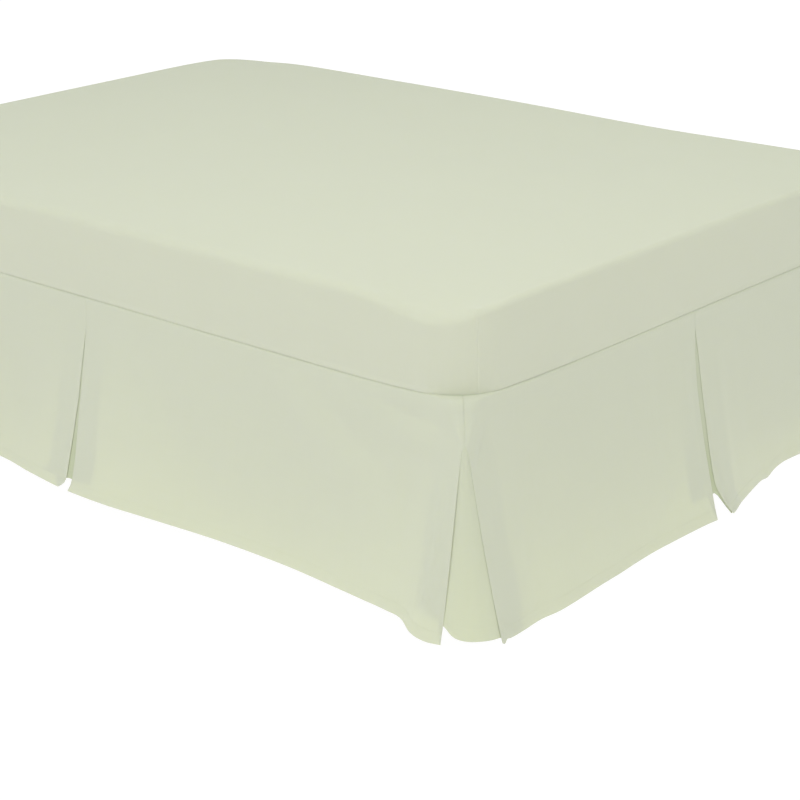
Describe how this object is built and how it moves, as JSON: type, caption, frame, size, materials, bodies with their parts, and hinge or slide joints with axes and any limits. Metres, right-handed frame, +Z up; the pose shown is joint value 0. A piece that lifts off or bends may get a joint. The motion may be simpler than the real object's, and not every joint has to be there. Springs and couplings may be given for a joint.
{
  "type": "fitted valance sheet on a mattress and divan base",
  "caption": "Plain fitted sheet with a box-pleated valance skirt to the floor, shown on the mattress and divan base that it fits.",
  "frame": {"origin": "on the floor under the middle of the bed", "axes": "+X across the bed, +Y along it towards the head end, +Z up"},
  "size_m": [1.578, 2.1085, 0.5709],
  "materials": {
    "bed_linen": "plain woven pale green cotton, matt",
    "skirt_linen": "plain woven pale green cotton, matt, pressed pleats",
    "ticking": "off-white woven ticking",
    "divan_cloth": "cream upholstery cloth",
    "foot_plastic": "black moulded plastic"
  },
  "bodies": {
    "root": {"fitted_sheet": "bed_linen", "skirt_foot": "skirt_linen", "skirt_left": "skirt_linen", "skirt_right": "skirt_linen", "skirt_head": "skirt_linen", "mattress": "ticking", "divan_base": "divan_cloth", "foot_1": "foot_plastic", "foot_2": "foot_plastic", "foot_3": "foot_plastic", "foot_4": "foot_plastic", "foot_5": "foot_plastic", "foot_6": "foot_plastic"}
  },
  "joints": []
}
